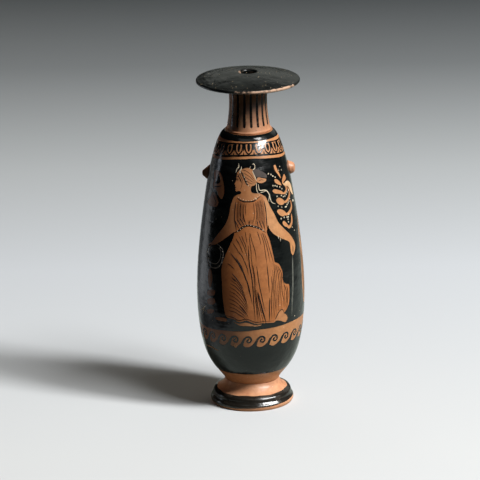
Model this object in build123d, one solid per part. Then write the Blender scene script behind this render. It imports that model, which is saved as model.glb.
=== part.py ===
from build123d import *
import os

# Footed oil flask of fired clay, with a wide mouth disc and two small lugs.
# The potter threw the body, neck, mouth disc and foot as separate pieces, pinched the lugs by hand,
# and luted them all together with thin beds of slip. Millimetres, +Z up, the origin under the foot.

# Luting slip
slip_thickness = 0.5
slip_setback = 0.15
slip_clearance = 0.04

# Foot
foot_height = 14.0
foot_rest_radius = 23.4
foot_torus_radius = 24.4
foot_torus_height = 2.2
foot_groove_radius = 23.1
foot_groove_height = 4.5
foot_moulding_bulge = 0.35
foot_edge_radius = 22.0
foot_edge_height = 8.0
foot_edge_lip = 0.5
foot_stem_radius = 15.9
foot_cavetto_depth = 1.5
foot_recess_radius = 17.0
foot_recess_depth = 5.5

# Body: its widest circle, and the other stations of its outer meridian set in from that circle
belly_radius = 31.5
belly_height = 66.0
hip_height = 23.0
hip_inset = 9.2
flank_height = 40.0
flank_inset = 2.4
crown_height = 165.4
crown_margin = 0.5
chest_drop = 40.4
chest_inset = 5.4
shoulder_drop = 13.4
shoulder_inset = 10.9
wall_thickness = 4.0
floor_thickness = 6.0
crown_thickness = 4.5
body_mouth_radius = 6.5

# Neck
neck_length = 25.6
neck_root_radius = 12.5
neck_root_rise = 1.6
neck_flange_reach = 0.9
neck_flange_edge = 0.4
neck_cove_depth = 0.4
neck_lean = 0.2
neck_waist_inset = 1.55
neck_waist_rise = 15.6
neck_top_inset = 1.1
neck_bore_radius = 5.6

# Mouth disc
disc_radius = 30.2
disc_edge_radius = 1.1
disc_rim_rise = 2.9
disc_height = 8.0
disc_crown_share = 0.5
disc_crown_fall = 1.3
mouth_bore_radius = 4.6
mouth_lip_radius = 1.6

# Lugs, pinched by hand, so each has its own height on the wall and its own tip
lug_set_back = 8.0
lug_wide = 6.6
lug_root_depth = 1.5
left_lug_drop = 27.0
left_lug_tall = 11.6
left_lug_reach = 3.7
left_lug_tip = 2.6
left_lug_tip_round = 1.1
right_lug_drop = 24.4
right_lug_tall = 9.6
right_lug_reach = 3.6
right_lug_tip = 5.4
right_lug_tip_round = 2.3

# Heights and radii that follow from the pieces standing on each other
body_base = foot_height + slip_thickness
neck_base = crown_height + slip_thickness
neck_top = neck_base + neck_length
disc_base = neck_top + slip_thickness
chest_height = crown_height - chest_drop
shoulder_height = crown_height - shoulder_drop
hip_radius = belly_radius - hip_inset
flank_radius = belly_radius - flank_inset
chest_radius = belly_radius - chest_inset
shoulder_radius = belly_radius - shoulder_inset
neck_flange_radius = neck_root_radius + neck_flange_reach
neck_waist_radius = neck_root_radius - neck_waist_inset
neck_top_radius = neck_root_radius - neck_top_inset
crown_radius = neck_flange_radius + crown_margin


def on_meridian(radius, height):
    """A point of the half section, in the XZ plane."""
    return (radius, 0, height)


def turned(*edges):
    """The solid of a closed half section turned about the flask's axis."""
    return revolve(make_face(edges), Axis.Z)


def slip_ring(inner, outer, base):
    """A thin bed of luting slip between two flat seats."""
    ring = Cylinder(outer, slip_thickness, align=(Align.CENTER, Align.CENTER, Align.MIN))
    if inner > 0:
        ring -= Cylinder(inner, slip_thickness, align=(Align.CENTER, Align.CENTER, Align.MIN))
    return Pos(0, 0, base) * ring


def body_meridian(outset=0.0):
    """The outer curve of the body from the foot's joint to the crown, moved out from the wall by outset."""
    stations = [
        (foot_stem_radius, body_base),
        (hip_radius, hip_height),
        (flank_radius, flank_height),
        (belly_radius, belly_height),
        (chest_radius, chest_height),
        (shoulder_radius, shoulder_height),
        (crown_radius, crown_height),
    ]
    points = [on_meridian(radius + outset, height) for radius, height in stations]
    return Spline(*points, tangents=[(0.55, 0, 1), (-1, 0, 0.3)], tangent_scalars=[0.6, 0.6])


def make_body():
    """The thrown wall: closed at the foot, open at the crown."""
    outer = body_meridian()
    floor = body_base + floor_thickness
    cavity = Spline(
        on_meridian(0, floor),
        on_meridian(flank_radius - wall_thickness, flank_height),
        on_meridian(belly_radius - wall_thickness, belly_height),
        on_meridian(chest_radius - wall_thickness, chest_height),
        on_meridian(shoulder_radius - wall_thickness, shoulder_height),
        on_meridian(body_mouth_radius, crown_height - crown_thickness),
        tangents=[(1, 0, 0), (-1, 0, 0.45)],
        tangent_scalars=[1.2, 0.6],
    )
    crown = Polyline(
        outer @ 1,
        on_meridian(body_mouth_radius, crown_height),
        cavity @ 1,
    )
    base = Polyline(cavity @ 0, on_meridian(0, body_base), outer @ 0)
    return turned(*outer.edges(), *crown.edges(), *cavity.edges(), *base.edges())


def make_foot():
    """The thrown foot: a torus and a moulding with a groove between them, a cavetto and a dished underside."""
    recess = ThreePointArc(
        on_meridian(0, foot_recess_depth),
        on_meridian(foot_recess_radius / 2, foot_recess_depth * 3 / 4),
        on_meridian(foot_recess_radius, 0),
    )
    rest = Line(recess @ 1, on_meridian(foot_rest_radius, 0))
    torus = ThreePointArc(
        rest @ 1,
        on_meridian(foot_torus_radius, foot_torus_height),
        on_meridian(foot_groove_radius, foot_groove_height),
    )
    moulding = ThreePointArc(
        torus @ 1,
        on_meridian(
            (foot_groove_radius + foot_edge_radius) / 2 + foot_moulding_bulge,
            (foot_groove_height + foot_edge_height) / 2,
        ),
        on_meridian(foot_edge_radius, foot_edge_height),
    )
    lip = Line(moulding @ 1, on_meridian(foot_edge_radius - foot_edge_lip, foot_edge_height))
    cavetto = ThreePointArc(
        lip @ 1,
        on_meridian(
            (foot_edge_radius - foot_edge_lip + foot_stem_radius) / 2 - foot_cavetto_depth / 2,
            (foot_edge_height + foot_height) / 2 - foot_cavetto_depth / 2,
        ),
        on_meridian(foot_stem_radius, foot_height),
    )
    seat = Polyline(cavetto @ 1, on_meridian(0, foot_height), recess @ 0)
    return turned(recess, rest, torus, moulding, lip, cavetto, *seat.edges())


def make_neck():
    """The thrown neck: a small flange that stands on the crown, a cove and a slightly waisted tube."""
    edge = Line(
        on_meridian(neck_flange_radius, neck_base),
        on_meridian(neck_flange_radius, neck_base + neck_flange_edge),
    )
    cove = ThreePointArc(
        edge @ 1,
        on_meridian(
            (neck_flange_radius + neck_root_radius) / 2 - neck_cove_depth / 2,
            neck_base + (neck_flange_edge + neck_root_rise) / 2 - neck_cove_depth / 2,
        ),
        on_meridian(neck_root_radius, neck_base + neck_root_rise),
    )
    tube = Spline(
        cove @ 1,
        on_meridian(neck_waist_radius, neck_base + neck_waist_rise),
        on_meridian(neck_top_radius, neck_top),
        tangents=[(-neck_lean, 0, 1), (0.12, 0, 1)],
    )
    bore = Polyline(
        tube @ 1,
        on_meridian(neck_bore_radius, neck_top),
        on_meridian(neck_bore_radius, neck_base),
        edge @ 0,
    )
    return turned(edge, cove, *tube.edges(), *bore.edges())


def make_mouth_disc():
    """The thrown mouth: a low dome with a round edge, a rounded lip and a bore for a stopper."""
    rim_height = disc_base + disc_rim_rise
    disc_top = disc_base + disc_height
    edge_centre = disc_radius - disc_edge_radius
    lip_start = on_meridian(mouth_bore_radius, disc_top - mouth_lip_radius)
    dome_start = on_meridian(mouth_bore_radius + mouth_lip_radius, disc_top)
    lip_turn = mouth_lip_radius * (1 - 0.5**0.5)
    lip_middle = on_meridian(mouth_bore_radius + lip_turn, disc_top - lip_turn)
    lip = ThreePointArc(lip_start, lip_middle, dome_start)
    shelf_radius = mouth_bore_radius + (edge_centre - mouth_bore_radius) * disc_crown_share
    dome = ThreePointArc(
        dome_start,
        on_meridian(shelf_radius, disc_top - disc_crown_fall),
        on_meridian(edge_centre, rim_height + disc_edge_radius),
    )
    edge = ThreePointArc(
        dome @ 1,
        on_meridian(disc_radius, rim_height),
        on_meridian(edge_centre, rim_height - disc_edge_radius),
    )
    underside = Polyline(
        edge @ 1,
        on_meridian(neck_top_radius, disc_base),
        on_meridian(mouth_bore_radius, disc_base),
        lip_start,
    )
    return turned(lip, dome, edge, *underside.edges())


def body_envelope(outset):
    """The filled outer form of the body, moved out by outset, to seat the lugs on."""
    outer = body_meridian(outset)
    axis = Polyline(outer @ 1, on_meridian(0, crown_height), on_meridian(0, body_base), outer @ 0)
    return turned(*outer.edges(), *axis.edges())


def wall_radius(height):
    """The body's outer radius at a height on its wall."""
    level = Line(on_meridian(body_mouth_radius, height), on_meridian(2 * belly_radius, height))
    return level.intersect(body_meridian())[0].X


def make_lug(drop, turn, tall, reach, tip_size, tip_round):
    """One pinched lug, an oval stub with a rounded tip, and the bed of slip that holds it to the wall."""
    height = crown_height - drop
    start = wall_radius(height) - lug_root_depth
    end = wall_radius(height) + reach
    root = Plane((start, 0, height), x_dir=(0, 1, 0), z_dir=(1, 0, 0)) * Ellipse(lug_wide / 2, tall / 2)
    tip = Plane((end, 0, height), x_dir=(0, 1, 0), z_dir=(1, 0, 0)) * Circle(tip_size / 2)
    stub = loft([root, tip])
    stub = fillet(stub.edges().sort_by(Axis.X)[-1], tip_round)
    blank = Rot(0, 0, turn) * stub
    bed_face = body_envelope(slip_thickness)
    lug = blank - body_envelope(slip_thickness + slip_clearance)
    bed = (blank & bed_face) - body_envelope(slip_clearance)
    return lug, bed


def main():
    left_lug, left_slip = make_lug(
        left_lug_drop, 180 - lug_set_back, left_lug_tall, left_lug_reach, left_lug_tip, left_lug_tip_round
    )
    right_lug, right_slip = make_lug(
        right_lug_drop, lug_set_back, right_lug_tall, right_lug_reach, right_lug_tip, right_lug_tip_round
    )
    pieces = {
        "foot": make_foot(),
        "foot_slip_joint": slip_ring(0, foot_stem_radius - slip_setback, foot_height),
        "body": make_body(),
        "neck_slip_joint": slip_ring(body_mouth_radius, neck_flange_radius - slip_setback, crown_height),
        "neck": make_neck(),
        "mouth_slip_joint": slip_ring(neck_bore_radius, neck_top_radius - slip_setback, neck_top),
        "mouth_disc": make_mouth_disc(),
        "left_lug": left_lug,
        "left_lug_slip_bed": left_slip,
        "right_lug": right_lug,
        "right_lug_slip_bed": right_slip,
    }
    os.makedirs("parts", exist_ok=True)
    for name, piece in pieces.items():
        export_step(piece, f"parts/{name}.step")
        print(name, round(piece.volume, 1), piece.bounding_box().min, piece.bounding_box().max)


main()
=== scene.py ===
import math
import bpy
import numpy as np
from mathutils import Matrix, Vector, geometry


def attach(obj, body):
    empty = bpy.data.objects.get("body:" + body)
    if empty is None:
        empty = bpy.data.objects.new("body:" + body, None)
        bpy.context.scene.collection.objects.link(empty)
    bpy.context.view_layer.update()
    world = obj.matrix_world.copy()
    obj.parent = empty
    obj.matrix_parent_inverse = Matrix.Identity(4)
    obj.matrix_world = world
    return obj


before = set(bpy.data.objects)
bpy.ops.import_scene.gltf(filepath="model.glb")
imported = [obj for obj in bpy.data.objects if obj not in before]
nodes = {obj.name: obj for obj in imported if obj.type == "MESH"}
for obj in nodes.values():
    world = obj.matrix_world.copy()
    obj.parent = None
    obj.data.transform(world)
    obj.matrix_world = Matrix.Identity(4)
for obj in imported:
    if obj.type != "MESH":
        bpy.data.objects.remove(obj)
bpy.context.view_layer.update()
bpy.context.scene.view_settings.view_transform = "Standard"


# Foot
# A low stand thrown on its own: rounded rim, groove, moulding and a hollowed cove up to the joint.
# It is left in bare fired clay, which shows pinker and paler than the washed wall above it.

def linear(code):
    """An sRGB hex colour as the linear values that a shader takes."""
    parts = [int(code[i:i + 2], 16) / 255 for i in (1, 3, 5)]
    return [c / 12.92 if c <= 0.04045 else ((c + 0.055) / 1.055) ** 2.4 for c in parts] + [1.0]


def result(node):
    """The socket that a node gives its result from: the first one in use."""
    return next(socket for socket in node.outputs if socket.enabled)


def add(tree, kind, inputs=None, **settings):
    """One node with its settings. Each input, by name or by number, is a value, a socket or a node.
    A colour Mix blends its inputs 6 and 7, and Map Range takes 1 to 2 over to 3 to 4."""
    made = tree.nodes.new(kind)
    for name, value in settings.items():
        setattr(made, name, value)
    for name, value in (inputs or {}).items():
        if isinstance(value, bpy.types.Node):
            value = result(value)
        if isinstance(value, bpy.types.NodeSocket):
            tree.links.new(value, made.inputs[name])
        else:
            made.inputs[name].default_value = value
    return made


def surface(name):
    """A new material, with its node tree, its shader and the place on the piece in metres."""
    material = bpy.data.materials.new(name)
    material.use_nodes = True
    tree = material.node_tree
    place = add(tree, "ShaderNodeTexCoord").outputs["Object"]
    return material, tree, tree.nodes["Principled BSDF"], place


def finish_surface(tree, shader, colour, rough, relief):
    """Links a surface's colour, roughness and relief to its shader."""
    for socket, source in (("Base Color", colour), ("Roughness", rough), ("Normal", relief)):
        tree.links.new(result(source), shader.inputs[socket])


mm = 0.001


def fired_clay(name, pale, mid, deep, rub=0.0, shade_side_darkening=0.0):
    """Fired iron-rich clay, thrown and wiped smooth: a dry even red-orange with cloudy firing tones,
    fine turning lines from the wheel, and pale and dark grits. The skin shines by the share rub. By the
    share shade_side_darkening the left side is painted a deeper, darker red, as painted shade on the side
    the key lamps miss."""
    material, tree, shader, place = surface(name)
    # firing clouds about 16 mm across, and mottle about 3 mm across
    clouds = add(tree, "ShaderNodeTexNoise", {"Vector": place, "Scale": 1 / (16 * mm), "Detail": 3.0})
    mottle = add(
        tree, "ShaderNodeTexNoise",
        {"Vector": place, "Scale": 1 / (3 * mm), "Detail": 4.0, "Roughness": 0.65})
    # turning lines: 0.9 mm apart up the wall and stretched round it
    rings = add(tree, "ShaderNodeMapping", {"Vector": place, "Scale": (0.06, 0.06, 1.0)})
    turning = add(tree, "ShaderNodeTexNoise", {"Vector": rings, "Scale": 1 / (0.9 * mm), "Detail": 2.0})
    # grits of about 0.5 mm, drawn 2.4 mm apart
    grits = add(tree, "ShaderNodeTexVoronoi", {"Vector": place, "Scale": 1 / (2.4 * mm)})
    cloud_share = add(tree, "ShaderNodeMapRange", {"Value": clouds, 1: 0.33, 2: 0.67})
    mottle_share = add(tree, "ShaderNodeMapRange", {"Value": mottle, 1: 0.35, 2: 0.75, 4: 0.55})
    near_grit = add(
        tree, "ShaderNodeMapRange",
        {"Value": grits.outputs["Distance"], 1: 0.10, 2: 0.16, 3: 0.6, 4: 0.0})
    grit_tone = add(tree, "ShaderNodeSeparateXYZ", {"Vector": grits.outputs["Color"]})
    few_grits = add(tree, "ShaderNodeMapRange", {"Value": grit_tone.outputs["X"], 1: 0.78, 2: 0.80})
    grit_share = add(tree, "ShaderNodeMath", {0: near_grit, 1: few_grits}, operation="MULTIPLY")
    grit_paint = add(
        tree, "ShaderNodeMix",
        {"Factor": grit_tone.outputs["Y"], 6: linear("#4a2c1c"), 7: linear("#ecd2b4")}, data_type="RGBA")
    base = add(
        tree, "ShaderNodeMix", {"Factor": cloud_share, 6: linear(mid), 7: linear(pale)}, data_type="RGBA")
    worn = add(
        tree, "ShaderNodeMix", {"Factor": mottle_share, 6: base, 7: linear(deep)}, data_type="RGBA")
    colour = add(tree, "ShaderNodeMix", {"Factor": grit_share, 6: worn, 7: grit_paint}, data_type="RGBA")
    # the painted shade on the left fades from 20 mm left of the axis to 10 mm right of it
    across = add(tree, "ShaderNodeSeparateXYZ", {"Vector": place})
    shade_side_share = add(
        tree, "ShaderNodeMapRange",
        {"Value": across.outputs["X"], 1: -20 * mm, 2: 10 * mm, 3: shade_side_darkening, 4: 0.0})
    # painted shade: the colour is mixed towards a dark red on the left, the side that the key lamps don't
    # reach
    fired = add(
        tree, "ShaderNodeMix", {"Factor": shade_side_share, 6: colour, 7: linear("#8c4720")}, data_type="RGBA")
    rough = add(tree, "ShaderNodeMapRange", {"Value": mottle, 1: 0.3, 2: 0.7, 3: 0.48, 4: 0.64})
    height = add(tree, "ShaderNodeMath", {0: turning, 1: 0.7, 2: mottle}, operation="MULTIPLY_ADD")
    bump = add(tree, "ShaderNodeBump", {"Height": height, "Distance": 0.06 * mm, "Strength": 0.6})
    shader.inputs["IOR"].default_value = 1.5
    shader.inputs["Specular IOR Level"].default_value = 0.2
    shader.inputs["Coat Weight"].default_value = rub
    shader.inputs["Coat Roughness"].default_value = 0.2
    finish_surface(tree, shader, fired, rough, bump)
    return material


bare_clay = fired_clay("fired_clay_bare", "#dca57d", "#cd9067", "#a8623d", rub=0.16)
nodes["foot"].material_slots[0].material = bare_clay


# Beds of luting slip
# Watered clay brushed between the leather-hard pieces to stick them together, fired with the rest.
# It shows only as a dull, slightly sunken line at each joint.

slip = fired_clay("luting_slip_fired", "#b4764f", "#a06542", "#7d4a30")
for joint in (
        "foot_slip_joint", "neck_slip_joint", "mouth_slip_joint", "left_lug_slip_bed",
        "right_lug_slip_bed"):
    nodes[joint].material_slots[0].material = slip


# Body, neck and lugs
# The body is thrown hollow and rubbed with an ochre wash that fires to a deeper orange.
# The neck tube and the two pinched, unpierced lugs stay in the bare clay.

# the washed body carries the strongest painted shade on its left side
washed_clay = fired_clay(
    "fired_clay_ochre_washed", "#d29762", "#c68754", "#9c6038", rub=0.55, shade_side_darkening=0.7)
nodes["body"].material_slots[0].material = washed_clay
for piece in ("neck", "left_lug", "right_lug"):
    nodes[piece].material_slots[0].material = bare_clay


# Mouth disc
# A domed disc thrown separately and coated all over, underside too, with the fired black gloss.
# Handling has rubbed the coat through to the clay on the rim and round the mouth hole.

def black_gloss(
        name, wear=None, pitted=0.14, speck_pitch=3.2, speck_reach=0.08,
        tone=("#0a0d0d", "#1c201e"), roughness=(0.12, 0.25), shine=0.5):
    """Black gloss: a very fine clay slip fired black, brushed on. It is greenish black with a soft shine,
    browner where the brush left it thin, streaked round the pot, and pitted with pale specks."""
    material, tree, shader, place = surface(name)
    # brush streaks 1.6 mm wide that run round the pot, and cloudy patches about 11 mm across
    round_pot = add(tree, "ShaderNodeMapping", {"Vector": place, "Scale": (0.12, 0.12, 1.0)})
    streaks = add(
        tree, "ShaderNodeTexNoise", {"Vector": round_pot, "Scale": 1 / (1.6 * mm), "Detail": 3.0})
    patches = add(
        tree, "ShaderNodeTexNoise",
        {"Vector": place, "Scale": 1 / (11 * mm), "Detail": 4.0, "Roughness": 0.6})
    # pale pits and specks, speck_pitch mm apart, each reaching the share speck_reach of that pitch
    specks = add(tree, "ShaderNodeTexVoronoi", {"Vector": place, "Scale": 1 / (speck_pitch * mm)})
    thin = add(tree, "ShaderNodeMath", {0: streaks, 1: patches}, operation="MULTIPLY")
    thin_share = add(tree, "ShaderNodeMapRange", {"Value": thin, 1: 0.24, 2: 0.42, 4: 0.7})
    coat = add(
        tree, "ShaderNodeMix", {"Factor": thin_share, 6: linear(tone[0]), 7: linear(tone[1])},
        data_type="RGBA")
    near_speck = add(
        tree, "ShaderNodeMapRange",
        {"Value": specks.outputs["Distance"], 1: speck_reach * 0.75, 2: speck_reach * 1.25, 3: 0.85, 4: 0.0})
    speck_tone = add(tree, "ShaderNodeSeparateXYZ", {"Vector": specks.outputs["Color"]})
    few_specks = add(
        tree, "ShaderNodeMapRange", {"Value": speck_tone.outputs["X"], 1: 1 - pitted, 2: 1.02 - pitted})
    speck_share = add(tree, "ShaderNodeMath", {0: near_speck, 1: few_specks}, operation="MULTIPLY")
    colour = add(
        tree, "ShaderNodeMix", {"Factor": speck_share, 6: coat, 7: linear("#b7a285")}, data_type="RGBA")
    rough = add(
        tree, "ShaderNodeMapRange", {"Value": thin, 1: 0.12, 2: 0.42, 3: roughness[0], 4: roughness[1]})
    if wear:
        rubbed = wear(tree, place, patches)
        colour = add(
            tree, "ShaderNodeMix", {"Factor": rubbed, 6: colour, 7: linear("#cba78c")}, data_type="RGBA")
        rough = add(tree, "ShaderNodeMix", {"Factor": rubbed, 2: rough, 3: 0.7})
    height = add(tree, "ShaderNodeMath", {0: streaks, 1: 0.5, 2: patches}, operation="MULTIPLY_ADD")
    # the wall under the gloss is uneven from the hand, in dents about 7 mm across
    dents = add(tree, "ShaderNodeTexNoise", {"Vector": place, "Scale": 1 / (7 * mm), "Detail": 2.0})
    uneven = add(tree, "ShaderNodeBump", {"Height": dents, "Distance": 0.8 * mm, "Strength": 0.6})
    bump = add(
        tree, "ShaderNodeBump",
        {"Height": height, "Normal": uneven, "Distance": 0.18 * mm, "Strength": 0.6})
    shader.inputs["IOR"].default_value = 1.47
    shader.inputs["Specular IOR Level"].default_value = shine
    finish_surface(tree, shader, colour, rough, bump)
    return material


disc_radius = max(corner[0] for corner in nodes["mouth_disc"].bound_box)
mouth_radius = 4.6 * mm


def rim_and_mouth_wear(tree, place, patches):
    """Share of bare clay: on the rim's sharp edge, most at the front right, and round the mouth hole."""
    part = add(tree, "ShaderNodeSeparateXYZ", {"Vector": place})
    flat = add(tree, "ShaderNodeCombineXYZ", {"X": part.outputs["X"], "Y": part.outputs["Y"]})
    reach = add(tree, "ShaderNodeVectorMath", {0: flat}, operation="LENGTH")
    aim = add(tree, "ShaderNodeVectorMath", {0: flat, 1: (0.50, -0.87, 0.0)}, operation="DOT_PRODUCT")
    rubbed_side = add(tree, "ShaderNodeMapRange", {"Value": aim, 1: 18 * mm, 2: 28 * mm, 3: 0.0, 4: 0.36})
    rim = add(
        tree, "ShaderNodeMapRange",
        {"Value": reach, 1: disc_radius - 1.1 * mm, 2: disc_radius - 0.2 * mm})
    lip = add(
        tree, "ShaderNodeMapRange",
        {"Value": reach, 1: mouth_radius + 0.6 * mm, 2: mouth_radius + 1.8 * mm, 3: 1.0, 4: 0.0})
    handled_side = add(
        tree, "ShaderNodeMapRange",
        {"Value": part.outputs["X"], 1: -5 * mm, 2: -1 * mm, 3: 0.27, 4: 0.05})
    lip_amount = add(tree, "ShaderNodeMath", {0: lip, 1: handled_side}, operation="MULTIPLY")
    amount = add(
        tree, "ShaderNodeMath", {0: rim, 1: rubbed_side, 2: lip_amount}, operation="MULTIPLY_ADD")
    # chips 2 mm across break the rubbed edge up
    chips = add(tree, "ShaderNodeTexNoise", {"Vector": place, "Scale": 1 / (2 * mm), "Detail": 3.0})
    broken = add(tree, "ShaderNodeMath", {0: chips, 1: 0.6, 2: patches}, operation="MULTIPLY_ADD")
    patchy = add(tree, "ShaderNodeMath", {0: broken, 1: 1.6}, operation="DIVIDE")
    level = add(tree, "ShaderNodeMath", {0: patchy, 1: amount}, operation="ADD")
    return add(tree, "ShaderNodeMapRange", {"Value": level, 1: 0.72, 2: 0.86})


nodes["mouth_disc"].material_slots[0].material = black_gloss(
    "black_gloss_handled", rim_and_mouth_wear, pitted=0.5, speck_pitch=2.2, speck_reach=0.12,
    roughness=(0.22, 0.36))


# Gloss rings on the foot and the body
# Bands of black gloss brushed on while the flask turned on the wheel: the foot's mouldings, the crown,
# the lines above and below the egg pattern, and the deep band under the waves. Each is a thin raised coat.

# in mm: a coat's thickness, how far its underside sinks into the clay, and the radius at which the flat
# drawing for each wall is true to size
coat_thickness = 0.07
coat_bite = 0.02
body_spread, foot_spread = 28.0, 22.0
gloss = black_gloss("black_gloss_brushed")


def turned_wall(piece):
    """Height to radius and slope of a turned piece's outside, in millimetres, as its mesh has it."""
    mesh = nodes[piece].data
    points = np.empty(len(mesh.vertices) * 3, np.float32)
    mesh.vertices.foreach_get("co", points)
    points = points.reshape(-1, 3) * 1000
    corners = np.empty(len(mesh.loops), np.int32)
    mesh.loops.foreach_get("vertex_index", corners)
    corners = corners.reshape(-1, 3)
    a, b, c = points[corners[:, 0]], points[corners[:, 1]], points[corners[:, 2]]
    facing = np.cross(b - a, c - a)
    facing /= np.maximum(np.linalg.norm(facing, axis=1, keepdims=True), 1e-9)
    middle = (a + b + c) / 3
    # only the faces that look outwards count, not the flat ends and the inside
    outward = (facing[:, :2] * middle[:, :2]).sum(1) > 0.08 * np.hypot(middle[:, 0], middle[:, 1])
    outside = points[np.unique(corners[outward])]
    levels, at = np.unique(outside[:, 2].round(3), return_inverse=True)
    widest = np.zeros(len(levels))
    np.maximum.at(widest, at, np.hypot(outside[:, 0], outside[:, 1]))
    # the slope is evened out over 35 steps of 0.05 mm, so that the coats don't show the mesh's rows
    step, window = 0.05, 35
    heights = np.arange(levels[0], levels[-1], step)
    radii = np.interp(heights, levels, widest)
    steps = np.pad(np.gradient(radii, heights), window // 2, mode="edge")
    slopes = np.convolve(steps, np.ones(window) / window, mode="valid")
    return lambda z: (np.interp(z, heights, radii), np.interp(z, heights, slopes))


body_wall = turned_wall("body")
foot_wall = turned_wall("foot")
neck_wall = turned_wall("neck")


def lay_on(wall, spread, mesh, name, even=True):
    """Lays a flat-drawn mesh (mm along, mm up, mm thick) on a turned wall, as a finished piece.
    spread is the wall radius at which mm along are true. An even coat takes the wall's own normals."""
    flat = np.empty(len(mesh.vertices) * 3, np.float32)
    mesh.vertices.foreach_get("co", flat)
    flat = flat.reshape(-1, 3).astype(float)
    turn = flat[:, 0] / spread
    radius, slope = wall(flat[:, 1])
    lean = np.hypot(1, slope)
    out = radius + flat[:, 2] / lean
    up = flat[:, 1] - flat[:, 2] * slope / lean
    laid = np.stack([out * np.sin(turn), -out * np.cos(turn), up], 1) / 1000
    mesh.vertices.foreach_set("co", laid.astype(np.float32).ravel())
    mesh.polygons.foreach_set("use_smooth", [True] * len(mesh.polygons))
    mesh.update()
    if even:
        normals = np.stack([np.sin(turn) / lean, -np.cos(turn) / lean, -slope / lean], 1)
        # a zero leaves the underside its own normals
        normals[flat[:, 2] < 0.5 * flat[:, 2].max()] = 0
        mesh.normals_split_custom_set_from_vertices(normals.tolist())
    coat = bpy.data.objects.new(name, mesh)
    bpy.context.scene.collection.objects.link(coat)
    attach(coat, "root")


def plain_mesh(name, parts, material):
    """One mesh from several (points, faces) parts."""
    points, faces = [], []
    for part_points, part_faces in parts:
        faces += [[i + len(points) for i in face] for face in part_faces]
        points += [tuple(p) for p in part_points]
    mesh = bpy.data.meshes.new(name)
    mesh.from_pydata(points, [], faces)
    mesh.materials.append(material)
    return mesh


def coat_piece(name, wall, spread, parts, material):
    """Lays flat-drawn parts on a wall as one piece."""
    lay_on(wall, spread, plain_mesh(name, parts, material), name)


def ring(edges, spread, rises, sag=0.0, rows=3, wobble=0.10, level=()):
    """A band right round the pot between two heights. Each edge tilts up to the right by its own rise,
    hangs lower at the sides by twice sag, and wavers as a loaded brush does. At level heights the coat
    follows a sharp moulding."""
    count = 180
    turn = np.arange(count) * 2 * np.pi / count - np.pi
    low, high = [
        z + rise * np.sin(turn) + sag * (np.cos(2 * turn) - 1)
        + wobble * (0.6 * np.sin(5 * turn + z) + 0.4 * np.sin(13 * turn + 2 * z))
        for z, rise in zip(edges, rises)]
    stops = [low] + [np.full(count, z) for z in level] + [high]
    heights = [a + (b - a) * k / rows for a, b in zip(stops, stops[1:]) for k in range(rows)] + [high]
    points, faces = [], []
    for thick in (coat_thickness, -coat_bite):
        for height in heights:
            points += list(zip(turn * spread, height, [thick] * count))
    layer = len(heights) * count
    top = layer - count
    for i in range(count):
        j = (i + 1) % count
        for k in range(len(heights) - 1):
            face = [k * count + i, k * count + j, (k + 1) * count + j, (k + 1) * count + i]
            faces.append(face)
            faces.append([layer + n for n in reversed(face)])
        faces.append([layer + i, layer + j, j, i])
        faces.append([top + i, top + j, layer + top + j, layer + top + i])
    return points, faces


thin_gloss = black_gloss(
    "black_gloss_thin_and_rubbed", tone=("#211e1a", "#4c4136"), roughness=(0.16, 0.26))
foot_ring = ring((2.0, 8.35), foot_spread, (1.1, 0.05), rows=6, wobble=0.14, level=(3.4, 4.5, 8.0))
coat_piece("foot_gloss_ring", foot_wall, foot_spread, [foot_ring], thin_gloss)
low_band = ring((22.4, 41.3), body_spread, (0.4, 0.4), rows=20)
line_below_eggs = ring((154.5, 155.5), body_spread, (0.4, 0.4), sag=1.3)
line_above_eggs = ring((161.0, 161.8), body_spread, (0.3, 0.3), sag=0.7)
crown_band = ring((162.4, 165.37), body_spread, (0.1, 0.0), rows=12, wobble=0.02)
body_rings = [low_band, line_below_eggs, line_above_eggs, crown_band]
coat_piece("body_gloss_rings", body_wall, body_spread, body_rings, gloss)


# Repeated ornament: neck strokes, egg pattern and running waves
# Each is one motif that the brush repeats round the pot in black gloss on the reserved clay:
# eighteen hanging strokes on the neck, twenty eggs on the shoulder and twenty-four curling waves below.

def smooth(points, closed=False, step=0.5):
    """A flowing line through given points, with a point about every step mm."""
    p = np.asarray(points, float)
    ends = [p[-1:], p, p[:2]] if closed else [2 * p[:1] - p[1:2], p, 2 * p[-1:] - p[-2:-1]]
    p = np.vstack(ends)
    line = []
    for a, b, c, d in zip(p, p[1:], p[2:], p[3:]):
        ab, bc, cd = np.linalg.norm(b - a), np.linalg.norm(c - b), np.linalg.norm(d - c)
        leave = (c - a) / (ab + bc) * bc
        arrive = (d - b) / (bc + cd) * bc
        t = np.linspace(0, 1, max(1, math.ceil(bc / step)), endpoint=False)[:, None]
        line.append(
            b * (1 + t * t * (2 * t - 3)) + c * t * t * (3 - 2 * t)
            + leave * t * (1 - t) ** 2 - arrive * t * t * (1 - t))
    if not closed:
        line.append(p[-2:-1])
    return np.vstack(line)


def brush(path, widths, step=0.5):
    """The outline of one brush stroke along a path, as wide at each point as given, with round ends."""
    with_width = np.hstack([np.asarray(path, float), np.reshape(widths, (-1, 1))])
    line = smooth(with_width, step=step)
    along = np.gradient(line[:, :2], axis=0)
    along /= np.linalg.norm(along, axis=1, keepdims=True)
    side = np.stack([-along[:, 1], along[:, 0]], 1) * line[:, 2:] / 2
    tip = line[-1, :2] + along[-1] * line[-1, 2] * 0.45
    tail = line[0, :2] - along[0] * line[0, 2] * 0.45
    return np.vstack([line[:, :2] - side, tip, (line[:, :2] + side)[::-1], tail])


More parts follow.
